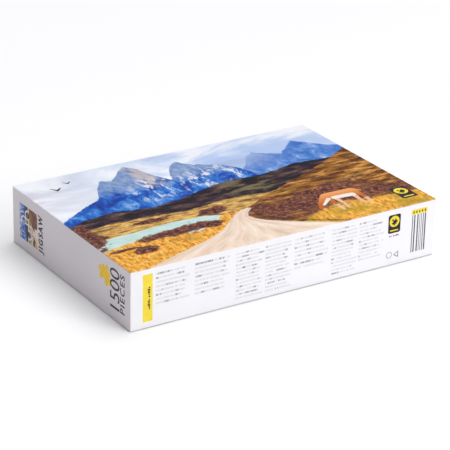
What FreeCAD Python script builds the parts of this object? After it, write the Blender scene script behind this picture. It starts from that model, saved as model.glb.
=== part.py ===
"""Boxed jigsaw puzzle: a lift-off lid over a tray, with a film pouch of loose die-cut pieces.

Frame: origin at the middle of the tray's underside, +X along the long side, +Y towards the
back, +Z up. Millimetres.
"""
import FreeCAD
import Part
import Sketcher
import math
import os
import random

SIZES = {
    # the closed box
    "box_length": 400.0,
    "box_width": 270.0,
    "box_height": 70.0,
    "board_thick": 1.5,
    "wrap_thick": 0.2,
    "edge_radius": 0.9,
    # how the lid sits over the tray
    "side_play": 0.6,
    "rim_play": 0.2,
    "lid_floor_gap": 0.8,
    # how the paper and the corner tape lie on the board
    "turn_in": 18.0,
    "corner_slit": 0.2,
    "stay_leg": 22.0,
    "stay_thick": 0.15,
    "stay_inset": 2.0,
    # the finished picture and its pieces
    "picture_length": 850.0,
    "picture_width": 580.0,
    "piece_columns": 50,
    "piece_rows": 30,
    "piece_thick": 1.8,
    "knob_reach": 4.2,
    "knob_half_width": 2.7,
    "neck_half_width": 1.75,
    # the film pouch
    "film_thick": 0.15,
    "bag_play": 2.0,
    "bag_lie": 0.1,
    "bag_corner": 30.0,
    "bag_shoulder": 22.0,
    "bag_foot": 8.0,
    "seal_width": 8.0,
    "seal_thick": 0.4,
    "seal_length": 180.0,
    "heap_play": 1.2,
    "heap_headroom": 0.4,
}

doc = FreeCAD.newDocument("jigsaw_box")
sheet = doc.addObject("Spreadsheet::Sheet", "Sizes")
for row, (alias, value) in enumerate(SIZES.items(), start=1):
    sheet.set("A%d" % row, alias)
    sheet.set("B%d" % row, str(value))
    sheet.setAlias("B%d" % row, alias)
doc.recompute()

nodes = []


def keep(item, label=None):
    """Mark an object as a finished sub-part, exported under its own label."""
    item.Label = label or item.Name
    nodes.append(item)
    return item


def bind(item, **formulas):
    """Tie properties of an object to formulas on the sheet; a dot in a path is written __."""
    for path, formula in formulas.items():
        item.setExpression(path.replace("__", "."), formula)


def summed(*terms):
    """Sheet cells added up as one formula; a leading minus sign takes a cell away."""
    text = " + ".join("Sizes." + term if term[0] != "-" else "(0 - Sizes.%s)" % term[1:] for term in terms)
    return "(%s)" % text


# ---- the folded boards, the paper and the tape of both halves ----

def rounded_block(name, length, width, low, high, rounds):
    """A block padded from a centred rectangle; rounds lists (which edges, radius) in turn."""
    body = doc.addObject("PartDesign::Body", name)
    plane = [item for item in body.Origin.OriginFeatures if item.Role == "XY_Plane"][0]
    sketch = body.newObject("Sketcher::SketchObject", name + "_outline")
    sketch.AttachmentSupport = (plane, [""])
    sketch.MapMode = "FlatFace"
    bind(sketch, AttachmentOffset__Base__z=low)
    # drawn at any size: the constraints below set the real one
    start_x, start_y = 100, 60
    corners = [(-start_x, -start_y), (start_x, -start_y), (start_x, start_y), (-start_x, start_y)]
    points = [FreeCAD.Vector(x, y, 0) for x, y in corners]
    for index in range(4):
        sketch.addGeometry(Part.LineSegment(points[index], points[(index + 1) % 4]), False)
    for index in range(4):
        sketch.addConstraint(Sketcher.Constraint("Coincident", index, 2, (index + 1) % 4, 1))
        sketch.addConstraint(Sketcher.Constraint("Vertical" if index % 2 else "Horizontal", index))
    sketch.addConstraint(Sketcher.Constraint("Symmetric", 0, 1, 1, 2, -1, 1))
    across = sketch.addConstraint(Sketcher.Constraint("DistanceX", 0, 1, 0, 2, 2 * start_x))
    along = sketch.addConstraint(Sketcher.Constraint("DistanceY", 1, 1, 1, 2, 2 * start_y))
    sketch.renameConstraint(across, "length")
    sketch.renameConstraint(along, "width")
    bind(sketch, Constraints__length=length, Constraints__width=width)
    feature = body.newObject("PartDesign::Pad", name + "_pad")
    feature.Profile = sketch
    bind(feature, Length="%s - %s" % (high, low))
    body.Tip = feature
    for ends, radius in rounds:
        doc.recompute()
        box = feature.Shape.BoundBox
        levels = [{"top": box.ZMax, "bottom": box.ZMin}[end] for end in ends if end != "upright"]
        edges = []
        for index, edge in enumerate(feature.Shape.Edges, start=1):
            extent = edge.BoundBox
            upright = extent.ZLength > box.ZLength / 2
            at_end = any(extent.ZLength < 0.01 and abs(extent.ZMin - level) < 0.01 for level in levels)
            if at_end or (upright and "upright" in ends):
                edges.append("Edge%d" % index)
        fillet = body.newObject("PartDesign::Fillet", "%s_%s" % (name, "_".join(ends)))
        fillet.Base = (feature, edges)
        bind(fillet, Radius=radius)
        body.Tip = fillet
        feature = fillet
    return body


def folded_block(name, wall, low, high, radius, folded_end):
    """A block with rounded upright edges and one rounded end, as folded board has."""
    length = "Sizes.box_length - 2 * %s" % wall
    width = "Sizes.box_width - 2 * %s" % wall
    return rounded_block(name, length, width, low, high, [(("upright", folded_end), radius)])


def plain_box(name, length, width, low, high, x="-Length / 2", y="-Width / 2"):
    """A box tied to formulas, centred on the origin unless its corner is given."""
    box = doc.addObject("Part::Box", name)
    bind(box, Length=length, Width=width, Height="%s - %s" % (high, low))
    bind(box, Placement__Base__x=x, Placement__Base__y=y, Placement__Base__z=low)
    return box


def boolean(kind, name, base, tool):
    """A cut or a common of two objects."""
    result = doc.addObject("Part::" + kind, name)
    result.Base = base
    result.Tool = tool
    return result


def fuse(name, items):
    """Several objects as one."""
    result = doc.addObject("Part::MultiFuse", name)
    result.Shapes = items
    return result


CORNERS = {"front_left": (-1, -1), "front_right": (1, -1), "back_right": (1, 1), "back_left": (-1, 1)}


def corner_box(name, wall, low, high, reach_x, reach_y, corner, inward="0"):
    """A box in one corner, measured from the faces at wall; inward moves it in along Y."""
    side_x, side_y = CORNERS[corner]
    face_x = "(Sizes.box_length / 2 - %s)" % wall
    face_y = "(Sizes.box_width / 2 - %s - %s)" % (wall, inward)
    x = "%s - %s" % (face_x, reach_x) if side_x > 0 else "-" + face_x
    y = "%s - %s" % (face_y, reach_y) if side_y > 0 else "-" + face_y
    return plain_box(name, reach_x, reach_y, low, high, x, y)


def half_box(name, skin, rim, shut, open_down):
    """One half of the box: board, paper and corner tape.

    skin lists the cells between the outer size and this half's paper; rim and shut list the
    cells that make up the heights of its open end and of its closed face.
    """
    into, out = ("", "-") if open_down else ("-", "")

    def wall(*more):
        return summed(*skin, *more)

    def from_rim(*more):
        return summed(*rim, *[into + cell for cell in more])

    def from_shut(*more):
        return summed(*shut, *[out + cell for cell in more])

    def rising(one, other):
        return (one, other) if open_down else (other, one)

    folded_end = "top" if open_down else "bottom"
    board_wall = wall("wrap_thick")
    board_ends = rising(from_rim("wrap_thick"), from_shut("wrap_thick"))
    inside_wall = wall("wrap_thick", "board_thick")
    inner_face = from_shut("wrap_thick", "board_thick")
    across = "Sizes.box_length - 2 * %s"
    along = "Sizes.box_width - 2 * %s"
    board_radius = summed("edge_radius", "-wrap_thick")
    core_radius = summed("edge_radius", "-wrap_thick", "-stay_thick")

    # tape stays: the outermost skin of the board, at each corner
    block = folded_block(name + "_block", board_wall, *board_ends, board_radius, folded_end)
    core = folded_block(
        name + "_core", wall("wrap_thick", "stay_thick"), *board_ends, core_radius, folded_end)
    ring = boolean("Cut", name + "_stay_ring", block, core)
    stay_ends = rising(from_rim("wrap_thick", "stay_inset"), from_shut("wrap_thick", "stay_inset"))
    stays = []
    for corner in CORNERS:
        reach = corner_box(
            "%s_reach_%s" % (name, corner), board_wall, *stay_ends,
            "Sizes.stay_leg", "Sizes.stay_leg", corner)
        stays.append(keep(boolean("Common", "%s_corner_stay_%s" % (name, corner), ring, reach)))

    # greyboard: a folded blank whose four walls meet at butted corners
    hollow_ends = rising(from_rim("wrap_thick"), inner_face)
    hollow = plain_box(name + "_hollow", across % inside_wall, along % inside_wall, *hollow_ends)
    slits = []
    for corner in CORNERS:
        slits.append(corner_box(
            "%s_slit_%s" % (name, corner), board_wall, *hollow_ends,
            "Sizes.board_thick", "Sizes.corner_slit", corner, "Sizes.board_thick"))
    away = fuse(name + "_board_away", [hollow] + slits + stays)
    keep(boolean("Cut", name + "_board", block, away))

    # printed paper: over the outside, round the rim and turned in
    outer = folded_block(
        name + "_paper_outer", wall(), *rising(from_rim(), from_shut()), "Sizes.edge_radius", folded_end)
    lining_wall = wall("wrap_thick", "board_thick", "wrap_thick")
    lined = plain_box(
        name + "_lined", across % lining_wall, along % lining_wall,
        *rising(from_rim(), from_rim("wrap_thick", "turn_in")))
    unlined = plain_box(
        name + "_unlined", across % inside_wall, along % inside_wall,
        *rising(from_rim("wrap_thick", "turn_in"), inner_face))
    keep(boolean("Cut", name + "_wrap", outer, fuse(name + "_paper_away", [block, lined, unlined])))


LID_TOP = ["box_height"]
LID_CEILING = LID_TOP + ["-wrap_thick", "-board_thick"]
TRAY_SKIN = ["wrap_thick", "board_thick", "wrap_thick", "side_play"]
TRAY_LINING = TRAY_SKIN + ["wrap_thick", "board_thick", "wrap_thick"]
TRAY_RIM = LID_CEILING + ["-rim_play"]
TRAY_FLOOR = ["wrap_thick", "board_thick"]
GROUND = ["wrap_thick", "-wrap_thick"]
NO_SKIN = GROUND

half_box("lid", NO_SKIN, ["lid_floor_gap"], LID_TOP, open_down=True)
half_box("base", TRAY_SKIN, TRAY_RIM, GROUND, open_down=False)


# ---- the loose pieces, heaped inside the pouch ----

def size(alias):
    """One driving dimension, for shapes that are set in code."""
    return float(sheet.get(alias))


def value_of(cells):
    """The value of a list of sheet cells, as summed() adds them."""
    return sum(-size(cell[1:]) if cell[0] == "-" else size(cell) for cell in cells)


BAG_SIDE = TRAY_LINING + ["bag_play"]
BAG_END = BAG_SIDE + ["seal_width"]
BAG_FLOOR = TRAY_FLOOR + ["bag_lie"]
CAVITY_FLOOR = BAG_FLOOR + ["film_thick"]

thick = size("piece_thick")
columns = int(size("piece_columns"))
rows = int(size("piece_rows"))
pitch = (size("picture_length") / columns, size("picture_width") / rows)
cavity_half = (
    size("box_length") / 2 - value_of(BAG_END) - size("film_thick"),
    size("box_width") / 2 - value_of(BAG_SIDE) - size("film_thick"),
)


def inset_at(x, y):
    """How far a point lies inside the pouch's upright walls, which turn a round corner."""
    corner = size("bag_corner") - size("film_thick")
    over_x = abs(x) - (cavity_half[0] - corner)
    over_y = abs(y) - (cavity_half[1] - corner)
    if over_x > 0 and over_y > 0:
        return corner - math.hypot(over_x, over_y)
    return corner - max(over_x, over_y)


def round_off(radius, inset):
    """How far a rounded edge leaves its flat face at a distance in from the wall."""
    short = min(max(radius - inset, 0), radius)
    return radius - math.sqrt(radius * radius - short * short)


def floor_rise(x, y):
    """Height of the pouch's floor inside, over its lowest level, at a point."""
    return round_off(size("bag_foot") - size("film_thick"), inset_at(x, y))


def ceiling_drop(x, y):
    """How far the pouch's rounded shoulder lies under its flat top at a point."""
    return round_off(size("bag_shoulder") - size("film_thick"), inset_at(x, y))


def cut_pattern(rng):
    """The die's cut. A piece's right, back, left and front sides are 0 where the picture
    ends, else 1 for a knob or -1 for the notch that takes its neighbour's knob."""
    upright = [[rng.choice((1, -1)) for _ in range(rows)] for _ in range(columns)]
    level = [[rng.choice((1, -1)) for _ in range(rows)] for _ in range(columns)]
    pattern = []
    for column in range(columns):
        for line in range(rows):
            right = upright[column][line] if column < columns - 1 else 0
            back = level[column][line] if line < rows - 1 else 0
            left = -upright[column - 1][line] if column > 0 else 0
            front = -level[column][line - 1] if line > 0 else 0
            pattern.append((right, back, left, front))
    return pattern


# the heap is built on a height map: its cell, and the height of cells outside the pouch
HEAP_CELL = 1.0
OUT_OF_REACH = 1000.0
# each piece tries this many spots, in one of this many turns, judged by every ninth cell
HEAP_SEED = 1500
HEAP_TURNS = 24
HEAP_TRIES = 120
JUDGED_CELLS = 9
HEAP_GAP = 0.05
# a piece's slope is found in shrinking steps, which add up to less than the steepest slope
TILT_FIRST_STEP = 0.045
TILT_SHRINK = 0.87
TILT_STEPS = 26
STEEPEST = 0.35


def footprint(sides, turn):
    """Grid points near enough to a turned piece to touch it: steps, then millimetres."""
    margin = math.sqrt(2) * HEAP_CELL + STEEPEST * thick
    half_x = pitch[0] / 2 + margin
    half_y = pitch[1] / 2 + margin
    knob_wide = size("knob_half_width") + margin
    knob_out = size("knob_reach")
    reach = int((math.hypot(half_x, half_y) + knob_out) / HEAP_CELL) + 1
    cosine, sine = math.cos(turn), math.sin(turn)
    points = []
    for step_x in range(-reach, reach + 1):
        for step_y in range(-reach, reach + 1):
            x, y = step_x * HEAP_CELL, step_y * HEAP_CELL
            across = x * cosine + y * sine
            along = y * cosine - x * sine
            inside = abs(across) <= half_x and abs(along) <= half_y
            if not inside and abs(along) <= knob_wide:
                inside = abs(across) <= half_x + knob_out and sides[0 if across > 0 else 2] == 1
            if not inside and abs(across) <= knob_wide:
                inside = abs(along) <= half_y + knob_out and sides[1 if along > 0 else 3] == 1
            if inside:
                points.append((step_x, step_y, x, y))
    return points


def resting_plane(under):
    """The lowest plane over a set of (height, x, y) points: height at the origin and slopes."""
    slope_x = slope_y = 0.0
    step = TILT_FIRST_STEP
    lowest = None
    for _ in range(TILT_STEPS):
        lift, x, y = max((height - slope_x * x - slope_y * y, x, y) for height, x, y in under)
        if lowest is None or lift < lowest[0]:
            lowest = (lift, slope_x, slope_y)
        away = math.hypot(x, y) or 1.0
        slope_x += step * x / away
        slope_y += step * y / away
        step *= TILT_SHRINK
    return lowest


def heap(pattern, rng):
    """Drop the pieces one by one into the pouch, each where it lies low, resting on the rest."""
    half = [reach - size("heap_play") for reach in cavity_half]
    steps_x = int(2 * half[0] / HEAP_CELL)
    steps_y = int(2 * half[1] / HEAP_CELL)
    top = []
    for step_x in range(steps_x + 1):
        x = step_x * HEAP_CELL - half[0]
        column = []
        for step_y in range(steps_y + 1):
            y = step_y * HEAP_CELL - half[1]
            reachable = inset_at(x, y) > size("heap_play") / 2
            column.append(floor_rise(x, y) if reachable else OUT_OF_REACH)
        top.append(column)
    known = {}
    placed = []
    for sides in pattern:
        best = None
        for _ in range(HEAP_TRIES):
            key = (sides, rng.randrange(HEAP_TURNS))
            if key not in known:
                points = footprint(sides, 2 * math.pi * key[1] / HEAP_TURNS)
                ends = [(min(column), max(column)) for column in zip(*points)][:2]
                sparse = points[::JUDGED_CELLS] + [p for p in points if p[0] in ends[0] or p[1] in ends[1]]
                known[key] = (points, ends, sparse)
            points, ends, sparse = known[key]
            at_x = rng.randint(-ends[0][0], steps_x - ends[0][1])
            at_y = rng.randint(-ends[1][0], steps_y - ends[1][1])
            x, y = at_x * HEAP_CELL - half[0], at_y * HEAP_CELL - half[1]
            rest = max(top[at_x + point[0]][at_y + point[1]] for point in sparse)
            corner_x = abs(x) + pitch[0] / 2
            corner_y = abs(y) + pitch[1] / 2
            score = rest + ceiling_drop(corner_x, corner_y)
            if best is None or score < best[0]:
                best = (score, key, at_x, at_y, x, y)
        _, key, at_x, at_y, x, y = best
        points = known[key][0]
        under = [(top[at_x + p[0]][at_y + p[1]], p[2], p[3]) for p in points]
        lift, slope_x, slope_y = resting_plane(under)
        lift += HEAP_GAP
        rise = thick * math.sqrt(1 + slope_x ** 2 + slope_y ** 2)
        for step_x, step_y, offset_x, offset_y in points:
            height = lift + slope_x * offset_x + slope_y * offset_y + rise
            if height > top[at_x + step_x][at_y + step_y]:
                top[at_x + step_x][at_y + step_y] = height
        placed.append((sides, 2 * math.pi * key[1] / HEAP_TURNS, x, y, lift, slope_x, slope_y))
    return placed


def side_edges(start, finish, sign):
    """One side of a piece from corner to corner: straight, or two straights and a round knob."""
    if sign == 0:
        return [Part.makeLine(start, finish)]
    along = finish - start
    middle = along.Length / 2
    along.normalize()
    out = FreeCAD.Vector(along.y, -along.x, 0) * sign
    radius = size("knob_half_width")
    centre = size("knob_reach") - radius
    neck = size("neck_half_width")
    waist = centre - math.sqrt(radius * radius - neck * neck)
    enter = start + along * (middle - neck) + out * waist
    crown = start + along * middle + out * size("knob_reach")
    leave = start + along * (middle + neck) + out * waist
    knob = Part.Arc(enter, crown, leave).toShape()
    return [Part.makeLine(start, enter), knob, Part.makeLine(leave, finish)]


def piece_shape(sides):
    """A die-cut piece, centred on its cell, with its lower face at z = 0."""
    half_x, half_y = pitch[0] / 2, pitch[1] / 2
    plan = [(half_x, -half_y), (half_x, half_y), (-half_x, half_y), (-half_x, -half_y)]
    corners = [FreeCAD.Vector(x, y, 0) for x, y in plan]
    edges = []
    for index, sign in enumerate(sides):
        edges += side_edges(corners[index], corners[(index + 1) % 4], sign)
    face = Part.Face(Part.Wire(edges))
    return face.extrude(FreeCAD.Vector(0, 0, thick))


def group_name(sides, facing):
    """Which sub-part a piece belongs to: its kind and the way it faces in the heap."""
    if sides.count(0) == 2:
        return "corner_pieces_" + facing
    if sides.count(0) == 1:
        return "edge_pieces_" + facing
    return "inner_pieces_%d_knobs_%s" % (sides.count(1), facing)


rng = random.Random(HEAP_SEED)
loose = []
for sides in cut_pattern(rng):
    facing = rng.choice(("picture_up", "back_up"))
    right, back, left, front = sides
    seen = sides if facing == "picture_up" else (left, back, right, front)
    loose.append((seen, facing))
rng.shuffle(loose)
spots = heap([sides for sides, facing in loose], rng)
cut_shapes = {}
groups = {}
heap_top = 0.0
heap_base = value_of(CAVITY_FLOOR)
upward = FreeCAD.Vector(0, 0, 1)
for (sides, facing), (_, turn, x, y, lift, slope_x, slope_y) in zip(loose, spots):
    if sides not in cut_shapes:
        cut_shapes[sides] = piece_shape(sides)
    tilt = FreeCAD.Rotation(upward, FreeCAD.Vector(-slope_x, -slope_y, 1))
    spin = FreeCAD.Rotation(upward, math.degrees(turn))
    piece = cut_shapes[sides].copy()
    piece.Placement = FreeCAD.Placement(FreeCAD.Vector(x, y, heap_base + lift), tilt * spin)
    groups.setdefault(group_name(sides, facing), []).append(piece)
    box = piece.BoundBox
    for corner_x in (box.XMin, box.XMax):
        for corner_y in (box.YMin, box.YMax):
            heap_top = max(heap_top, box.ZMax + ceiling_drop(corner_x, corner_y))
for name, pieces in sorted(groups.items()):
    item = doc.addObject("Part::Feature", name)
    item.Shape = Part.makeCompound(pieces)
    keep(item)

# the heap decides how high the pouch stands, so this cell is filled in last
row = len(SIZES) + 1
sheet.set("A%d" % row, "heap_top")
sheet.set("B%d" % row, str(round(heap_top, 3)))
sheet.setAlias("B%d" % row, "heap_top")
doc.recompute()


# ---- the pouch: film all round the heap, with a flat heat seal at each end ----

def pouch_block(name, *inward):
    """The pouch's outer form, or its cavity when a film thickness is given to go inward."""
    end = summed(*BAG_END, *inward)
    side = summed(*BAG_SIDE, *inward)
    smaller = ["-" + cell for cell in inward]
    high = ["heap_top", "heap_headroom", "film_thick"] + smaller
    return rounded_block(
        name, "Sizes.box_length - 2 * " + end, "Sizes.box_width - 2 * " + side,
        summed(*BAG_FLOOR, *inward), summed(*high), [
            (["upright"], summed("bag_corner", *smaller)),
            (["top"], summed("bag_shoulder", *smaller)),
            (["bottom"], summed("bag_foot", *smaller)),
        ])


seal_low = "(%s + %s) / 2" % (summed(*BAG_FLOOR), summed("heap_top"))
seals = plain_box(
    "seals", "Sizes.box_length - 2 * " + summed(*BAG_SIDE), "Sizes.seal_length",
    seal_low, "(%s + Sizes.seal_thick)" % seal_low)
film = fuse("film", [pouch_block("pouch"), seals])
keep(boolean("Cut", "bag", film, pouch_block("pouch_cavity", "film_thick")))

doc.recompute()
for item in doc.Objects:
    bad = [word for word in item.State if word in ("Invalid", "Error")]
    if bad:
        raise RuntimeError("%s: %s" % (item.Name, bad))
for item in nodes:
    if item.Shape.isNull() or not item.Shape.isValid():
        raise RuntimeError("%s has no valid shape" % item.Label)
os.makedirs("parts", exist_ok=True)
for item in nodes:
    item.Shape.exportStep("parts/%s.step" % item.Label)
    box = item.Shape.BoundBox
    print("%-32s solids %4d  volume %10.1f  z %.2f..%.2f" % (
        item.Label, len(item.Shape.Solids), item.Shape.Volume, box.ZMin, box.ZMax))
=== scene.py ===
import math
import random

import bpy
from mathutils import Matrix, Vector


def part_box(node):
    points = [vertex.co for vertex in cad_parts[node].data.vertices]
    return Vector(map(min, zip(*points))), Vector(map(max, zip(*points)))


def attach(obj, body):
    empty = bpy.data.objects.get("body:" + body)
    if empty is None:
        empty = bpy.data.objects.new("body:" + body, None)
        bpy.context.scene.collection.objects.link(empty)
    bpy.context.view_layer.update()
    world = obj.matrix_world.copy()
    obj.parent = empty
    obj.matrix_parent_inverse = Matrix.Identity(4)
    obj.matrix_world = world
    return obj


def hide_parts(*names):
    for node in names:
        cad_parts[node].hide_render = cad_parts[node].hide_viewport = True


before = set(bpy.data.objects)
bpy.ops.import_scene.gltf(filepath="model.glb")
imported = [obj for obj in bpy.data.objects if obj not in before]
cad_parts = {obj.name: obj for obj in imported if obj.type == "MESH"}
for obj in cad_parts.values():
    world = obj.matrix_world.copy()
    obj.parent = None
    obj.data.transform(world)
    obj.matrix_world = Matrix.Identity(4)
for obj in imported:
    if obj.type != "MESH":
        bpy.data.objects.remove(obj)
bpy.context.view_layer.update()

MM = 0.001


# ---- sizes: the box from the frame, its board and paper as they are there ----

LOW, HIGH = (Vector(corner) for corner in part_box("lid_wrap"))
LENGTH, WIDTH = HIGH.x - LOW.x, HIGH.y - LOW.y
TOP = HIGH.z
PAPER = Vector(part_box("lid_board")[0]).x - LOW.x
BOARD = 1.5 * MM
WALL = PAPER + BOARD + PAPER
TURN_IN = 18 * MM
FOLD_RADIUS = 0.9 * MM
BLEED = 1.1 * MM  # how far the picture runs down over the folds


# ---- shader nets: short calls that add and join nodes ----

class Net:
    """One node tree, with short calls for the nodes that the finishes here are made of."""

    def __init__(self, tree):
        self.tree = tree

    def node(self, kind, inputs=None, **settings):
        item = self.tree.nodes.new("ShaderNode" + kind)
        for name, value in settings.items():
            setattr(item, name, value)
        for key, value in (inputs or {}).items():
            self.feed(item.inputs[key], value)
        return item

    def feed(self, socket, value):
        if isinstance(value, bpy.types.NodeSocket):
            self.tree.links.new(value, socket)
        elif isinstance(value, (tuple, list)) and socket.type == "RGBA" and len(value) == 3:
            socket.default_value = (*value, 1.0)
        else:
            socket.default_value = value

    def math(self, operation, one, two=0.0, three=0.0):
        item = self.node("Math", operation=operation)
        for socket, value in zip(item.inputs, (one, two, three)):
            self.feed(socket, value)
        return item.outputs[0]

    def times(self, first, *others):
        for other in others:
            first = self.math("MULTIPLY", first, other)
        return first

    def plus(self, first, *others):
        for other in others:
            first = self.math("ADD", first, other)
        return first

    def minus(self, one, two):
        return self.math("SUBTRACT", one, two)

    def line(self, value, slope, start):
        return self.math("MULTIPLY_ADD", value, slope, start)

    def sway(self, noise, amount, around):
        """A value swung by a noise, which lies about 0.5."""
        return self.line(self.minus(noise, 0.5), amount, around)

    def vector(self, operation, one, two=(0.0, 0.0, 0.0), three=None):
        item = self.node("VectorMath", operation=operation)
        self.feed(item.inputs[0], one)
        if operation == "SCALE":
            self.feed(item.inputs["Scale"], two)
        else:
            self.feed(item.inputs[1], two)
        if three is not None:
            self.feed(item.inputs[2], three)
        flat = operation in ("LENGTH", "DISTANCE", "DOT_PRODUCT")
        return item.outputs["Value" if flat else "Vector"]

    def mix(self, factor, under, over):
        """The colour over laid on the colour under."""
        item = self.node("Mix", data_type="RGBA")
        for index, value in ((0, factor), (6, under), (7, over)):
            self.feed(item.inputs[index], value)
        return item.outputs[2]

    def noise(self, place, scale, detail=2.0, roughness=0.5, stretch=None, turn=0.0, distortion=0.0):
        if stretch:
            place = self.node("Mapping", {
                "Vector": place, "Scale": stretch, "Rotation": (0.0, 0.0, turn)}).outputs[0]
        return self.node("TexNoise", {
            "Vector": place, "Scale": scale, "Detail": detail, "Roughness": roughness,
            "Distortion": distortion}).outputs["Fac"]

    def between(self, value, low, high):
        """0 under low, 1 over high; low may be the larger one."""
        item = self.node("MapRange", {"Value": value, "From Min": low, "From Max": high},
                         interpolation_type="SMOOTHSTEP")
        return item.outputs[0]

    def ramp(self, value, *stops):
        item = self.node("ValToRGB", {"Fac": value})
        marks = item.color_ramp.elements
        while len(marks) < len(stops):
            marks.new(0.5)
        for mark, (place, colour) in zip(marks, stops):
            mark.position = place
            mark.color = (*colour, 1.0)
        return item.outputs[0]

    def tones(self, value, *stops):
        """A ramp through (place, red, green, blue), the colours as they look on a screen."""
        return self.ramp(value, *((place, shade(*colour)) for place, *colour in stops))

    def outline(self, value, points):
        """A line drawn through points, each (0..1, 0..1), with straight runs between them."""
        item = self.node("FloatCurve", {"Value": value})
        marks = item.mapping.curves[0].points
        while len(marks) < len(points):
            marks.new(0.5, 0.5)
        for mark, point in zip(marks, points):
            mark.location = point
            mark.handle_type = "VECTOR"
        item.mapping.update()
        return item.outputs[0]


def shade(red, green, blue):
    """A colour given as it looks on a screen, 0 to 255, as the linear values a shader takes."""
    linear = []
    for channel in (red, green, blue):
        value = channel / 255
        linear.append(value / 12.92 if value <= 0.04045 else ((value + 0.055) / 1.055) ** 2.4)
    return tuple(linear)


def new_group(name, inputs, outputs):
    """A shader node group with its sockets: (name, kind, default) in, (name, kind) out."""
    group = bpy.data.node_groups.new(name, "ShaderNodeTree")
    for label, kind, default in inputs:
        socket = group.interface.new_socket(label, in_out="INPUT", socket_type="NodeSocket" + kind)
        if default is not None:
            socket.default_value = default
    for label, kind in outputs:
        group.interface.new_socket(label, in_out="OUTPUT", socket_type="NodeSocket" + kind)
    net = Net(group)
    entry = group.nodes.new("NodeGroupInput")
    leave = group.nodes.new("NodeGroupOutput")
    return group, net, entry.outputs, leave.inputs


def use_group(net, group, **values):
    """Place a group in a net; a space in a socket's name is written _."""
    item = net.tree.nodes.new("ShaderNodeGroup")
    item.node_tree = group
    for name, value in values.items():
        net.feed(item.inputs[name.replace("_", " ")], value)
    return item.outputs


# ---- the picture ----

PICTURE_SIZE = (400.0, 270.0, 1.0)


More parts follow.
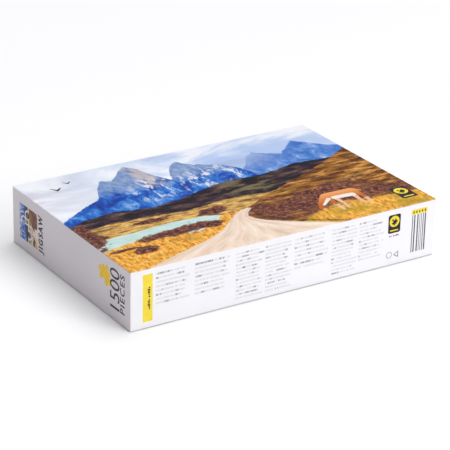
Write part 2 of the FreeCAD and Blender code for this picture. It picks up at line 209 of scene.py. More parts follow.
def landscape_group():
    """A made-up mountain valley: peaks, hills, lake, road, hillside, a grazing animal, two birds."""
    group, net, given, out = new_group("landscape", [("Place", "Vector", None)], [("Color", "Color")])
    place = given["Place"]
    split = net.node("SeparateXYZ", {"Vector": place})
    across, up = split.outputs[0], split.outputs[1]
    page = net.vector("MULTIPLY", place, PICTURE_SIZE)
    fine = net.noise(page, 0.9, 3.0, 0.7)

    def ragged(points, amount, scale, detail=6.0):
        """A ragged line across the picture, through points."""
        wobble = net.noise(net.vector("MULTIPLY", place, (1.0, 0.25, 0.0)), scale, detail, 0.65)
        return net.sway(wobble, amount, net.outline(across, points))

    def below(line, soft=0.004):
        return net.between(net.minus(line, up), 0.0, soft)

    # sky: pale, mauve to the left and bluer to the right, with torn cloud
    cloud = net.noise(place, 3.2, 8.0, 0.6, stretch=(1.0, 1.5, 1.0), distortion=0.6)
    sky = net.tones(across, (0.0, 216, 216, 228), (0.3, 218, 228, 244),
                    (0.62, 178, 200, 238), (1.0, 188, 206, 238))
    sky = net.mix(net.between(cloud, 0.42, 0.62), sky, shade(244, 246, 252))
    sky = net.mix(net.times(net.between(cloud, 0.44, 0.3), 0.7), sky, shade(168, 182, 214))

    # far range on the right, half in mist
    far_line = ragged([
        (0.0, 0.3), (0.58, 0.6), (0.66, 0.71), (0.7, 0.79), (0.735, 0.83), (0.77, 0.78),
        (0.81, 0.76), (0.85, 0.81), (0.89, 0.86), (0.93, 0.8), (0.97, 0.745), (1.0, 0.72)], 0.05, 22.0)
    strata = net.noise(place, 16.0, 9.0, 0.72, stretch=(1.4, 0.8, 1.0), turn=0.7, distortion=0.5)
    far = net.tones(strata, (0.3, 44, 92, 176), (0.5, 84, 130, 204),
                    (0.62, 132, 166, 220), (0.7, 222, 230, 246))
    mist = net.times(net.between(across, 0.86, 0.66), net.between(up, 0.6, 0.84))
    far = net.mix(net.times(mist, 0.8), far, shade(178, 192, 224))
    picture = net.mix(below(far_line, 0.012), sky, far)

    # the main peaks: hazy tops, tan faces, snow in the saddles, cobalt slopes
    peak_line = ragged([
        (0.0, 0.55), (0.09, 0.63), (0.17, 0.7), (0.2, 0.8), (0.23, 0.86), (0.26, 0.84),
        (0.3, 0.9), (0.345, 0.96), (0.37, 0.91), (0.385, 0.82), (0.42, 0.73), (0.44, 0.8),
        (0.465, 0.87), (0.5, 0.9), (0.53, 0.83), (0.57, 0.8), (0.6, 0.785), (0.64, 0.7),
        (0.66, 0.58), (0.7, 0.5), (1.0, 0.3)], 0.05, 30.0, 9.0)
    crag = net.noise(place, 13.0, 10.0, 0.7, stretch=(1.7, 0.75, 1.0), turn=-0.5, distortion=0.9)
    scree = net.noise(place, 30.0, 8.0, 0.75, stretch=(1.6, 0.6, 1.0), turn=0.55)
    slope = net.tones(crag, (0.32, 14, 50, 124), (0.46, 26, 82, 174),
                      (0.56, 66, 128, 208), (0.68, 150, 184, 228))
    summit = net.tones(scree, (0.3, 92, 120, 172), (0.5, 130, 156, 200), (0.68, 176, 190, 216))
    height = net.sway(crag, 0.22, up)
    rock = net.mix(net.between(height, 0.66, 0.8), slope, summit)
    tan_here = net.times(net.between(across, 0.315, 0.345), net.between(across, 0.4, 0.37),
                         net.between(height, 0.66, 0.74), net.between(scree, 0.42, 0.52), 0.8)
    rock = net.mix(tan_here, rock, shade(206, 190, 180))
    snow_height = net.math("ABSOLUTE", net.minus(height, 0.68))
    drift = net.noise(place, 15.0, 8.0, 0.7, stretch=(1.9, 0.7, 1.0), turn=-0.8, distortion=0.7)
    snow_here = net.times(net.between(snow_height, 0.17, 0.02), net.between(drift, 0.52, 0.6),
                          net.between(across, 0.22, 0.34))
    rock = net.mix(snow_here, rock, shade(228, 232, 242))
    picture = net.mix(below(peak_line, 0.006), picture, rock)

    # dark hills, with a greener patch in the middle
    hill_line = ragged([
        (0.0, 0.49), (0.07, 0.53), (0.16, 0.545), (0.26, 0.51), (0.36, 0.525), (0.46, 0.57),
        (0.54, 0.6), (0.63, 0.59), (0.72, 0.6), (0.8, 0.63), (0.9, 0.61), (1.0, 0.6)], 0.03, 26.0)
    moor = net.noise(place, 14.0, 8.0, 0.7, stretch=(0.8, 1.7, 1.0), turn=0.25)
    hills = net.tones(moor, (0.34, 22, 18, 32), (0.48, 52, 40, 52),
                      (0.58, 94, 74, 72), (0.7, 146, 126, 106))
    green = net.times(net.between(across, 0.46, 0.58), net.between(across, 0.72, 0.6),
                      net.between(moor, 0.42, 0.6))
    hills = net.mix(green, hills, shade(122, 112, 82))
    picture = net.mix(below(hill_line), picture, hills)

    # meadow, then the lake lying in it
    meadow_line = ragged([
        (0.0, 0.43), (0.1, 0.45), (0.22, 0.44), (0.34, 0.415), (0.48, 0.44), (0.62, 0.41), (1.0, 0.4)],
        0.05, 18.0)
    tuft = net.noise(place, 34.0, 6.0, 0.7, stretch=(0.7, 1.8, 1.0))
    meadow = net.tones(tuft, (0.36, 96, 70, 50), (0.46, 184, 142, 82),
                       (0.56, 226, 182, 102), (0.68, 244, 216, 152))
    rough = net.noise(place, 11.0, 7.0, 0.65, stretch=(0.6, 1.8, 1.0))
    meadow = net.mix(net.times(net.between(rough, 0.54, 0.62), 0.75), meadow, shade(112, 84, 62))
    picture = net.mix(below(meadow_line, 0.02), picture, meadow)
    lake_top = ragged([
        (0.0, 0.315), (0.12, 0.322), (0.26, 0.338), (0.36, 0.33), (0.41, 0.3), (0.46, 0.26), (1.0, 0.2)],
        0.012, 20.0)
    ripple = net.noise(place, 60.0, 3.0, 0.6, stretch=(0.25, 2.2, 1.0))
    lake = net.tones(ripple, (0.35, 172, 206, 200), (0.65, 212, 230, 224))
    picture = net.mix(below(lake_top), picture, lake)

    # shore and the golden grass in front of it
    shore_line = ragged([
        (0.0, 0.215), (0.07, 0.24), (0.14, 0.262), (0.21, 0.235), (0.3, 0.21), (0.36, 0.25),
        (0.41, 0.31), (0.48, 0.31), (0.6, 0.2), (1.0, 0.1)], 0.05, 40.0)
    blade = net.noise(place, 46.0, 7.0, 0.75, stretch=(2.0, 0.6, 1.0), turn=-0.12)
    clump = net.noise(place, 9.0, 5.0, 0.6)
    gold = net.tones(blade, (0.34, 124, 76, 34), (0.45, 212, 144, 56),
                     (0.56, 246, 188, 86), (0.68, 254, 222, 146))
    gold = net.mix(net.times(net.between(clump, 0.54, 0.64), 0.5), gold, shade(150, 112, 48))
    picture = net.mix(below(shore_line, 0.012), picture, gold)

    # bushes: banks along the shore, a few in the grass, one at the picture's left edge
    twig = net.noise(place, 52.0, 8.0, 0.8, stretch=(1.3, 0.9, 1.0))
    lumps = net.noise(place, 13.0, 3.0, 0.5, stretch=(1.0, 1.3, 1.0))

    def bush(centre, reach, ragged_by=0.55):
        offset = net.vector("DIVIDE", net.vector("SUBTRACT", place, centre), reach)
        away = net.sway(lumps, -2.4, net.sway(twig, -ragged_by * 3.0, net.vector("LENGTH", offset)))
        return net.between(away, 1.05, 0.8)

    brush = net.tones(twig, (0.36, 38, 18, 22), (0.48, 88, 50, 50),
                      (0.57, 146, 98, 80), (0.68, 206, 152, 110))
    for centre, reach in (((0.2, 0.235, 0), (0.08, 0.035, 1)), ((0.33, 0.25, 0), (0.07, 0.045, 1)),
                          ((0.0, 0.34, 0), (0.05, 0.13, 1)), ((0.4, 0.36, 0), (0.05, 0.03, 1)),
                          ((0.11, 0.15, 0), (0.045, 0.03, 1)), ((0.05, 0.19, 0), (0.04, 0.015, 1)),
                          ((0.22, 0.39, 0), (0.07, 0.018, 1))):
        picture = net.mix(bush(centre, reach), picture, brush)

    # the hillside rising to the right, with a dark thicket along its foot
    hillside_line = ragged([
        (0.0, 0.0), (0.43, 0.0), (0.46, 0.29), (0.52, 0.33), (0.58, 0.385), (0.66, 0.43),
        (0.75, 0.49), (0.85, 0.555), (0.93, 0.62), (1.0, 0.68)], 0.04, 30.0)
    sweep = net.noise(place, 17.0, 9.0, 0.74, stretch=(0.6, 1.9, 1.0), turn=-0.42, distortion=0.4)
    hillside = net.tones(sweep, (0.36, 58, 34, 26), (0.46, 124, 78, 42),
                         (0.54, 190, 132, 66), (0.64, 236, 184, 104))
    broad = net.noise(place, 7.0, 6.0, 0.6, stretch=(0.7, 1.6, 1.0), turn=-0.4)
    hillside = net.mix(net.times(net.between(broad, 0.54, 0.64), 0.6), hillside, shade(104, 88, 44))
    hillside = net.mix(net.times(net.between(broad, 0.47, 0.38), 0.75), hillside, shade(66, 36, 30))
    picture = net.mix(below(hillside_line, 0.008), picture, hillside)
    for centre, reach in (((0.56, 0.24, 0), (0.1, 0.1, 1)), ((0.66, 0.2, 0), (0.12, 0.11, 1)),
                          ((0.8, 0.32, 0), (0.11, 0.05, 1)), ((0.9, 0.2, 0), (0.14, 0.08, 1)),
                          ((0.72, 0.27, 0), (0.1, 0.07, 1))):
        picture = net.mix(net.times(bush(centre, reach, 0.7), 0.88), picture, brush)

    # grass before the thicket
    verge_line = ragged([
        (0.0, 0.0), (0.5, 0.02), (0.58, 0.09), (0.66, 0.145), (0.76, 0.155), (0.88, 0.15), (1.0, 0.13)],
        0.09, 26.0)
    verge = net.mix(net.between(clump, 0.44, 0.56), gold, net.mix(0.5, gold, shade(170, 150, 50)))
    picture = net.mix(below(verge_line, 0.02), picture, verge)

    # the gravel road, widest in front and gone behind the hillside, with a dark bank to its right
    left_edge = net.outline(up, [(0.0, 0.06), (0.06, 0.17), (0.11, 0.275), (0.16, 0.345), (0.2, 0.38),
                                 (0.24, 0.41), (0.28, 0.44), (0.3, 0.465), (0.315, 0.5), (1.0, 0.5)])
    right_edge = net.outline(up, [(0.0, 0.67), (0.06, 0.6), (0.11, 0.55), (0.16, 0.505), (0.2, 0.48),
                                  (0.24, 0.472), (0.27, 0.485), (0.3, 0.51), (0.315, 0.5), (1.0, 0.5)])
    room_right = net.minus(right_edge, across)
    crumble = net.times(net.minus(net.noise(place, 60.0, 4.0, 0.7), 0.5), 0.012)
    in_left = net.between(net.plus(net.minus(across, left_edge), crumble), 0.0, 0.006)
    in_right = net.between(net.plus(room_right, crumble), 0.0, 0.006)
    lane = net.math("DIVIDE", net.minus(across, left_edge),
                    net.math("MAXIMUM", net.minus(right_edge, left_edge), 0.01))
    rut = net.noise(net.node("CombineXYZ", {"X": lane, "Y": net.times(up, 0.6)}).outputs[0],
                    9.0, 5.0, 0.65)
    gravel = net.tones(rut, (0.3, 206, 180, 160), (0.5, 234, 212, 192), (0.7, 250, 238, 224))
    gravel = net.mix(net.times(net.between(fine, 0.5, 0.7), 0.35), gravel, shade(176, 148, 128))
    bank = net.times(net.between(room_right, 0.0, -0.03), net.between(room_right, -0.045, -0.02),
                     net.between(up, 0.3, 0.22), 0.75)
    picture = net.mix(bank, picture, shade(58, 44, 42))
    picture = net.mix(net.times(in_left, in_right), picture, gravel)

    # the animal, in lengths of the page: a grazer with its head down, tan over a white belly
    def limbs(*parts):
        """Distance outside the nearest of some tapered limbs: start, end, thickness at each."""
        nearest = None
        for start, end, thick, thick_end in parts:
            base = Vector((*start, 0.0))
            run = Vector((*end, 0.0)) - base
            offset = net.vector("SUBTRACT", page, tuple(base))
            along = net.vector("DOT_PRODUCT", offset, tuple(run / run.length_squared))
            along = net.math("MINIMUM", net.math("MAXIMUM", along, 0.0), 1.0)
            foot = net.vector("SCALE", tuple(run), along)
            away = net.vector("SUBTRACT", net.vector("MULTIPLY", offset, (1, 1, 0)), foot)
            away = net.minus(net.vector("LENGTH", away), net.line(along, thick_end - thick, thick))
            nearest = away if nearest is None else net.math("MINIMUM", nearest, away)
        return nearest

    body = limbs(
        ((296, 67), (328, 66), 8.0, 8.5), ((292, 66), (276, 50), 6.0, 3.6),
        ((276, 49), (270, 41), 3.4, 2.2), ((278, 54), (275, 58), 1.2, 0.7),
        ((294, 62), (293, 44), 3.8, 1.8), ((331, 64), (334, 46), 5.2, 2.2),
        ((333, 70), (339, 64), 2.0, 1.6))
    legs = limbs(
        ((293, 46), (292, 27), 2.4, 1.7), ((334, 48), (332, 28), 2.5, 1.7),
        ((301, 58), (302, 43), 3.2, 2.0), ((302, 43), (300, 29), 2.0, 1.5),
        ((325, 58), (324, 43), 3.6, 2.0), ((324, 43), (325, 30), 2.0, 1.5))
    belly = limbs(((301, 60), (324, 58), 4.0, 4.6), ((293, 60), (279, 48), 2.6, 1.8))
    lit = net.line(net.minus(up, 0.24), 4.0, fine)
    coat = net.tones(lit, (0.3, 186, 104, 52), (0.55, 232, 150, 84), (0.8, 250, 196, 138))
    pale = net.tones(fine, (0.35, 222, 204, 190), (0.65, 255, 250, 244))
    leg = net.tones(fine, (0.35, 204, 148, 104), (0.65, 248, 220, 192))
    picture = net.mix(net.between(legs, 0.5, -0.4), picture, leg)
    picture = net.mix(net.between(body, 0.5, -0.4), picture, coat)
    picture = net.mix(net.between(belly, 0.6, -0.8), picture, pale)

    # two birds high on the left
    birds = limbs(((38, 232), (45, 238), 1.5, 0.5), ((38, 232), (33, 240), 1.4, 0.5),
                  ((58, 245), (63, 249), 1.1, 0.4), ((58, 245), (54, 250), 1.0, 0.4))
    picture = net.mix(net.between(birds, 0.4, -0.3), picture, shade(30, 30, 38))

    grain = net.sway(fine, 0.16, 1.0)
    picture = net.vector("SCALE", picture, grain)
    picture = net.node("BrightContrast", {"Color": picture, "Bright": -0.004, "Contrast": 0.045})
    net.feed(out["Color"], picture.outputs[0])
    return group


# ---- shared surface effects ----

def paper_group():
    """Paper close up: faint fibre mottling in tone, and a height for bump."""
    group, net, given, out = new_group(
        "paper_fibre", [("Place", "Vector", None), ("Depth", "Float", 0.3)],
        [("Tone", "Float"), ("Height", "Float")])
    fibre = net.noise(given["Place"], 900.0, 6.0, 0.7, distortion=0.4)
    cloudy = net.noise(given["Place"], 45.0, 4.0, 0.6)
    tone = net.sway(fibre, 0.05, net.sway(cloudy, 0.04, 1.0))
    net.feed(out["Tone"], tone)
    net.feed(out["Height"], net.times(fibre, given["Depth"]))
    return group


def edge_wear_group():
    """How far a print is rubbed along the folds of a box, from the distance to them."""
    group, net, given, out = new_group(
        "fold_wear",
        [("Place", "Vector", None), ("Half size", "Vector", None), ("Reach", "Float", 0.001)],
        [("Wear", "Float")])
    inward = net.vector("SUBTRACT", given["Half size"], net.vector("ABSOLUTE", given["Place"]))
    split = net.node("SeparateXYZ", {"Vector": inward})
    near = [net.between(split.outputs[index], given["Reach"], 0.0) for index in range(3)]
    fold = net.math("MAXIMUM", net.times(near[0], near[1]), net.times(near[1], near[2]))
    fold = net.math("MAXIMUM", fold, net.times(near[0], near[2]))
    rub = net.noise(given["Place"], 260.0, 6.0, 0.7)
    net.feed(out["Wear"], net.times(fold, net.between(rub, 0.45, 0.62)))
    return group


GROUPS = {"landscape": landscape_group(), "paper": paper_group(), "wear": edge_wear_group()}
LID_CENTRE = (LOW + HIGH) / 2
LID_HALF = (HIGH - LOW) / 2


def finish_material(name, build):
    """A material whose net build() fills in and whose Principled shader it is handed."""
    material = bpy.data.materials.new(name)
    material.use_nodes = True
    net = Net(material.node_tree)
    shader = material.node_tree.nodes["Principled BSDF"]
    place = net.node("TexCoord").outputs["Object"]
    build(net, shader, place)
    return material


def bump(net, shader, height, strength, distance=0.0001):
    item = net.node("Bump", {"Height": height, "Strength": strength, "Distance": distance})
    net.feed(shader.inputs["Normal"], item.outputs[0])


def laminated(net, shader, place, colour):
    """A print under satin film: slight fibre in tone and gloss, paper showing where folds rub."""
    fibre = use_group(net, GROUPS["paper"], Place=place, Depth=0.5)
    colour = net.vector("SCALE", colour, fibre["Tone"])
    wear = use_group(
        net, GROUPS["wear"], Place=net.vector("SUBTRACT", place, tuple(LID_CENTRE)),
        Half_size=tuple(LID_HALF), Reach=1.3 * MM)
    colour = net.mix(net.times(wear["Wear"], 0.55), colour, shade(226, 222, 214))
    net.feed(shader.inputs["Base Color"], colour)
    gloss = net.noise(place, 30.0, 3.0, 0.6)
    rough = net.line(gloss, 0.12, 0.3)
    net.feed(shader.inputs["Roughness"], net.line(wear["Wear"], 0.3, rough))
    shader.inputs["Specular IOR Level"].default_value = 0.22
    bump(net, shader, fibre["Height"], 0.12)


def picture_print(net, shader, place):
    """The landscape over the lid's top, running a little way over the folds."""
    corner = (-LOW.x, -LOW.y, 0.0)
    page = net.vector("MULTIPLY", net.vector("ADD", place, corner), (1 / LENGTH, 1 / WIDTH, 0.0))
    picture = use_group(net, GROUPS["landscape"], Place=page)["Color"]
    laminated(net, shader, place, picture)


def tile_picture(net, shader, place):
    """The landscape again, turned on its side and small, for the tile on the short side."""
    split = net.node("SeparateXYZ", {"Vector": place})
    page = net.node("CombineXYZ", {
        "X": net.line(split.outputs[2], 9.5, 0.16),
        "Y": net.line(split.outputs[1], 15.0, -1.0)}).outputs[0]
    laminated(net, shader, place, use_group(net, GROUPS["landscape"], Place=page)["Color"])


# a pale grey print for the back and the short sides, greyer than the front's white: partly a light grey
# print, partly painted shade for the shade that falls on the short side
def grey_print_painted_shade(net, shader, place):
    laminated(net, shader, place, net.tones(net.noise(place, 20.0), (0.0, 222, 216, 222),
                                            (1.0, 229, 223, 229)))


def white_print(net, place):
    return net.tones(net.noise(place, 20.0), (0.0, 241, 240, 244), (1.0, 247, 246, 249))


TEXT_TOP = TOP - 7.6 * MM
# each column of small print: its left edge and width in millimetres, its lines and their pitch
TEXT_COLUMNS = [
    (31, 43, 8, 4.9), (79, 48, 8, 4.9), (131, 37, 13, 4.4), (169, 36, 13, 4.4), (207, 49, 8, 4.9),
    (257, 36, 13, 4.4), (294, 34, 11, 4.4),
]


def text_print(net, shader, place):
    """The long side: columns of small print that says nothing, in rows of broken grey strokes."""
    split = net.node("SeparateXYZ", {"Vector": place})
    across, up = split.outputs[0], split.outputs[2]
    covered = lines_at = 0.0
    for start, wide, lines, line_pitch in TEXT_COLUMNS:
        left = LOW.x + start * MM
        down = net.math("DIVIDE", net.minus(TEXT_TOP, up), line_pitch * MM)
        row = net.math("FLOOR", down)
        ragged = net.node("TexWhiteNoise", {"W": net.plus(row, float(start))}, noise_dimensions="1D")
        end = net.line(ragged.outputs["Value"], -0.3 * wide * MM, left + wide * MM)
        here = net.times(net.math("GREATER_THAN", across, left), net.math("LESS_THAN", across, end),
                         net.math("LESS_THAN", down, float(lines)), net.math("GREATER_THAN", down, 0.0))
        in_row = net.math("FRACT", down)
        inked = net.times(here, net.between(in_row, 0.02, 0.1), net.between(in_row, 0.56, 0.46))
        covered = net.plus(covered, inked)
        lines_at = net.plus(lines_at, net.times(here, net.plus(row, float(start))))
    line_place = net.node("CombineXYZ", {
        "X": net.times(across, 1 / MM), "Y": net.times(lines_at, 7.3)}).outputs[0]
    words = net.noise(line_place, 0.36, 1.0, 0.4)
    letters = net.noise(line_place, 2.3, 2.0, 0.8)
    heavy = net.noise(line_place, 0.1, 1.0, 0.4)
    dark = net.line(net.between(heavy, 0.58, 0.61), 0.6, 0.25)
    ink = net.times(net.between(words, 0.32, 0.35), net.between(letters, 0.32, 0.62), covered, dark)
    laminated(net, shader, place, net.mix(ink, white_print(net, place), shade(40, 40, 46)))


def flat_ink(colour, darker):
    """One printed ink, a little uneven."""
    def build(net, shader, place):
        laminated(net, shader, place, net.tones(
            net.noise(place, 150.0, 4.0, 0.6), (0.25, *darker), (0.75, *colour)))
    return build


def white_paper(net, shader, place):
    fibre = use_group(net, GROUPS["paper"], Place=place, Depth=1.0)
    tone = net.tones(net.noise(place, 12.0, 5.0, 0.6), (0.2, 228, 227, 222), (0.8, 240, 239, 236))
    net.feed(shader.inputs["Base Color"], net.vector("SCALE", tone, fibre["Tone"]))
    net.feed(shader.inputs["Roughness"], net.line(fibre["Height"], 0.1, 0.62))
    bump(net, shader, fibre["Height"], 0.3)


def greyboard(net, shader, place):
    """Recycled fibre board: warm grey with dark and pale flecks."""
    fibre = net.noise(place, 320.0, 8.0, 0.75, distortion=0.8)
    fleck = net.noise(place, 900.0, 3.0, 0.6, stretch=(1.0, 0.45, 1.0))
    broad = net.noise(place, 25.0, 4.0, 0.6)
    tone = net.tones(fibre, (0.3, 128, 122, 112), (0.52, 152, 146, 134), (0.72, 174, 168, 156))
    tone = net.mix(net.between(fleck, 0.66, 0.72), tone, shade(84, 80, 76))
    tone = net.mix(net.times(net.between(fleck, 0.33, 0.28), 0.7), tone, shade(206, 200, 188))
    tone = net.vector("SCALE", tone, net.line(broad, 0.2, 0.9))
    net.feed(shader.inputs["Base Color"], tone)
    net.feed(shader.inputs["Roughness"], net.line(fibre, 0.15, 0.78))
    bump(net, shader, fibre, 0.5, 0.0002)


def kraft_tape(net, shader, place):
    fibre = net.noise(place, 500.0, 6.0, 0.7, stretch=(1.0, 1.0, 0.3))
    net.feed(shader.inputs["Base Color"], net.tones(fibre, (0.3, 148, 112, 74), (0.7, 192, 156, 112)))
    net.feed(shader.inputs["Roughness"], net.line(fibre, 0.2, 0.55))
    bump(net, shader, fibre, 0.3)


def clear_film(net, shader, place):
    """Thin clear film: nearly all seen through, with glints, creases and a little haze; whiter towards
    its rims and creases, partly haze and partly painted sheen.
    """
    crease = net.noise(place, 60.0, 5.0, 0.6, distortion=1.6)
    haze = net.noise(place, 18.0, 3.0, 0.5)
    facing = net.node("LayerWeight", {"Blend": 0.5}).outputs["Facing"]
    # the film is made whiter towards grazing views and along its creases: partly the film's haze, partly
    # painted sheen standing in for the film's reflections and glints
    rim = net.math("POWER", facing, 4.0)
    fold = net.between(crease, 0.6, 0.72)
    thickness = net.plus(net.times(rim, 0.4), net.times(fold, 0.2))
    net.feed(shader.inputs["Base Color"], net.tones(haze, (0.2, 232, 236, 240), (0.8, 250, 251, 252)))
    net.feed(shader.inputs["Roughness"], net.line(haze, 0.1, 0.08))
    net.feed(shader.inputs["Alpha"], net.plus(thickness, net.line(haze, 0.06, 0.03)))
    bump(net, shader, crease, 0.6, 0.0015)


def puzzle_piece(picture_up):
    """A die-cut piece: a fragment of the picture on one face, grey-blue paper on the other.

    Every piece lies at a tilt of its own, so the tilt decides which fragment it carries.
    """
    def build(net, shader, place):
        facing = net.node("NewGeometry").outputs["True Normal"]
        steps = net.vector("MULTIPLY_ADD", facing, (60.0, 60.0, 0.0), (0.5, 0.5, 0.0))
        tilt = net.vector("FLOOR", steps)
        chance = net.node("TexWhiteNoise", {"Vector": tilt}, noise_dimensions="3D")
        turned = net.node("VectorRotate", {
            "Vector": place, "Angle": net.times(chance.outputs["Value"], 40.0)},
            rotation_type="Z_AXIS").outputs[0]
        page = net.vector("MULTIPLY", turned, (1 / 0.85, 1 / 0.58, 0.0))
        page = net.vector("FRACTION", net.vector("ADD", page, chance.outputs["Color"]))
        picture = use_group(net, GROUPS["landscape"], Place=page)["Color"]
        fibre = net.noise(place, 420.0, 6.0, 0.7)
        back = net.tones(fibre, (0.3, 126, 136, 146), (0.7, 158, 168, 176))
        core = net.tones(fibre, (0.3, 120, 116, 110), (0.7, 160, 156, 148))
        normal = net.node("SeparateXYZ", {"Vector": facing}).outputs[2]
        upper, lower = (picture, back) if picture_up else (back, picture)
        colour = net.mix(net.math("GREATER_THAN", normal, 0.5), core, upper)
        colour = net.mix(net.math("LESS_THAN", normal, -0.5), colour, lower)
        net.feed(shader.inputs["Base Color"], colour)
        net.feed(shader.inputs["Roughness"], net.line(fibre, 0.2, 0.36 if picture_up else 0.6))
        bump(net, shader, fibre, 0.2)
    return build


FINISHES = {
    build.__name__: finish_material(build.__name__, build)
    for build in (picture_print, grey_print_painted_shade, tile_picture, text_print, white_paper, greyboard,
                  kraft_tape, clear_film)
}
for finish, build in (
        ("piece_picture_up", puzzle_piece(True)), ("piece_back_up", puzzle_piece(False)),
        ("black_ink", flat_ink((38, 37, 42), (24, 23, 28))),
        ("grey_ink", flat_ink((104, 104, 110), (88, 88, 94))),
        ("gold_ink", flat_ink((255, 212, 30), (246, 196, 18))),
        ("yellow_ink", flat_ink((250, 226, 74), (240, 212, 58)))):
    FINISHES[finish] = finish_material(finish, build)


# ---- modelling moves ----

def free_hands():
    """Object mode with nothing selected, ready for a new piece."""
    if bpy.context.mode != "OBJECT":
        bpy.ops.object.mode_set(mode="OBJECT")
    bpy.ops.object.select_all(action="DESELECT")


def hold(item):
    """Select one object alone and make it the active one."""
    free_hands()
    item.select_set(True)
    bpy.context.view_layer.objects.active = item
    return item


def settle(item, name=None):
    """Take the place, turn and scale into the mesh; with a name, name the object and its mesh."""
    hold(item)
    bpy.ops.object.transform_apply(location=True, rotation=True, scale=True)
    if name:
        item.name = item.data.name = name
    return item


def block(name, low, high):
    """A box between two corners."""
    free_hands()
    low, high = Vector(low), Vector(high)
    bpy.ops.mesh.primitive_cube_add(size=1.0, location=(low + high) / 2, scale=high - low)
    return settle(bpy.context.object, name)


def pick(item, kind, test):
    """In edit mode, select just the edges or faces for which test() holds."""
    hold(item)
    bpy.ops.object.mode_set(mode="EDIT")
    bpy.ops.mesh.select_mode(type=kind)
    bpy.ops.mesh.select_all(action="DESELECT")
    bpy.ops.object.mode_set(mode="OBJECT")
    mesh = item.data
    parts = mesh.edges if kind == "EDGE" else mesh.polygons
    for part in parts:
        points = [mesh.vertices[index].co for index in part.vertices]
        part.select = bool(test(points))
    bpy.ops.object.mode_set(mode="EDIT")


def pick_all(item):
    """In edit mode, select everything."""
    hold(item)
    bpy.ops.object.mode_set(mode="EDIT")
    bpy.ops.mesh.select_all(action="SELECT")


def done():
    bpy.ops.object.mode_set(mode="OBJECT")


def level(points, height):
    """Whether all the points lie at one height."""
    return all(abs(point.z - height) < 0.01 * MM for point in points)


def upright(points):
    """Whether an edge stands on end."""
    return (points[0].xy - points[1].xy).length < 1e-7


def apply_modifier(item, kind, **settings):
    hold(item)
    modifier = item.modifiers.new(kind.lower(), kind)
    for name, value in settings.items():
        setattr(modifier, name, value)
    bpy.ops.object.modifier_apply(modifier=modifier.name)
    return item


def trim(item, point, normal):
    """Cut the piece with a plane and drop what lies on the normal's side."""
    pick_all(item)
    bpy.ops.mesh.bisect(plane_co=point, plane_no=normal, clear_outer=True, use_fill=False)
    done()
    return item


def copied(item, name):
    """A copy with its own mesh."""
    twin = item.copy()
    twin.data = item.data.copy()
    twin.name = twin.data.name = name
    bpy.context.collection.objects.link(twin)
    return twin


def give(item, finish, body, smooth=30.0):
    """Finish a piece: its material, its soft shading, and the body that it belongs to."""
    item.data.materials.clear()
    item.data.materials.append(FINISHES[finish])
    hold(item)
    bpy.ops.object.shade_smooth_by_angle(angle=math.radians(smooth))
    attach(item, body)
    return item


def solid_paper(item):
    """Give a sheet the paper's thickness, inwards from its outer face."""
    return apply_modifier(item, "SOLIDIFY", thickness=PAPER, offset=-1.0, use_even_offset=True)


def covering(name, low, high, folded_top):
    """The outer faces of a papered box half, open at its rim, with soft folds."""
    item = block(name, low, high)
    end = high[2] if folded_top else low[2]
    pick(item, "EDGE", lambda points: upright(points) or level(points, end))
    bpy.ops.mesh.bevel(offset=FOLD_RADIUS, segments=5, profile=0.5, affect="EDGES")
    done()
    rim = low[2] if folded_top else high[2]
    pick(item, "FACE", lambda points: level(points, rim))
    bpy.ops.mesh.delete(type="FACE")
    done()
    return item


def lining(name, low, high, rim, turned_to):
    """The paper round a rim and down the inside: a ring of walls, mitred at the corners."""
    free_hands()
    centre = ((high[0] + low[0]) / 2, (high[1] + low[1]) / 2, rim)
    bpy.ops.mesh.primitive_plane_add(size=1.0, location=centre)
    item = bpy.context.object
    item.scale = (high[0] - low[0], high[1] - low[1], 1.0)
    settle(item, name)
    pick_all(item)
    if turned_to > rim:
        bpy.ops.mesh.flip_normals()
    bpy.ops.mesh.inset(thickness=WALL, depth=0.0)
    bpy.ops.mesh.extrude_region_move(TRANSFORM_OT_translate={"value": (0, 0, turned_to - rim)})
    bpy.ops.mesh.delete(type="ONLY_FACE")
    done()
    pick(item, "EDGE", lambda points: level(points, rim))
    bpy.ops.mesh.bevel(offset=0.35 * MM, segments=3, profile=0.5, affect="EDGES")
    done()
    pick_all(item)
    bpy.ops.mesh.remove_doubles(threshold=1e-7)
    done()
    return solid_paper(item)


# ---- the lid's paper ----

SEAM = TOP - BLEED
cover = covering("lid_cover", LOW, HIGH, True)

lid_top = copied(cover, "lid_top_print")
trim(lid_top, (0, 0, SEAM), (0, 0, -1))
give(solid_paper(lid_top), "picture_print", "lid")
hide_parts("lid_wrap")

# the back and the short sides take the grey print that carries painted shade
SIDES = {
    "front": ((-1, -1), (1, -1), "text_print"),
    "right": ((1, -1), (1, 1), "grey_print_painted_shade"),
    "back": ((1, 1), (-1, 1), "grey_print_painted_shade"),
    "left": ((-1, 1), (-1, -1), "grey_print_painted_shade"),
}
for side, (start, end, finish) in SIDES.items():
    panel = copied(cover, "lid_%s_print" % side)
    trim(panel, (0, 0, SEAM), (0, 0, 1))
    for sign_x, sign_y in (start, end):
        corner = Vector((sign_x * LENGTH / 2, sign_y * WIDTH / 2, 0))
        other = end if (sign_x, sign_y) == start else start
        along = Vector((sign_x - other[0], sign_y - other[1], 0)).normalized()
        outward = Vector((0, 0, 1)).cross(along)
        if outward.dot(corner) < 0:
            outward = -outward
        trim(panel, corner, (along - outward).normalized())
    give(solid_paper(panel), finish, "lid")
bpy.data.objects.remove(cover)

give(lining("lid_lining", LOW, HIGH, LOW.z, LOW.z + PAPER + TURN_IN), "white_paper", "lid")


# ---- print laid on the lid: labels, figures and words, each an ink's thickness proud ----

INK = 0.03 * MM
FACES = {
    "front": (Vector((LOW.x, LOW.y, 0.0)), Vector((1, 0, 0)), Vector((0, 0, 1))),
    "left": (Vector((LOW.x, HIGH.y, 0.0)), Vector((0, -1, 0)), Vector((0, 0, 1))),
    "top": (Vector((LOW.x, LOW.y, TOP)), Vector((1, 0, 0)), Vector((0, 1, 0))),
}


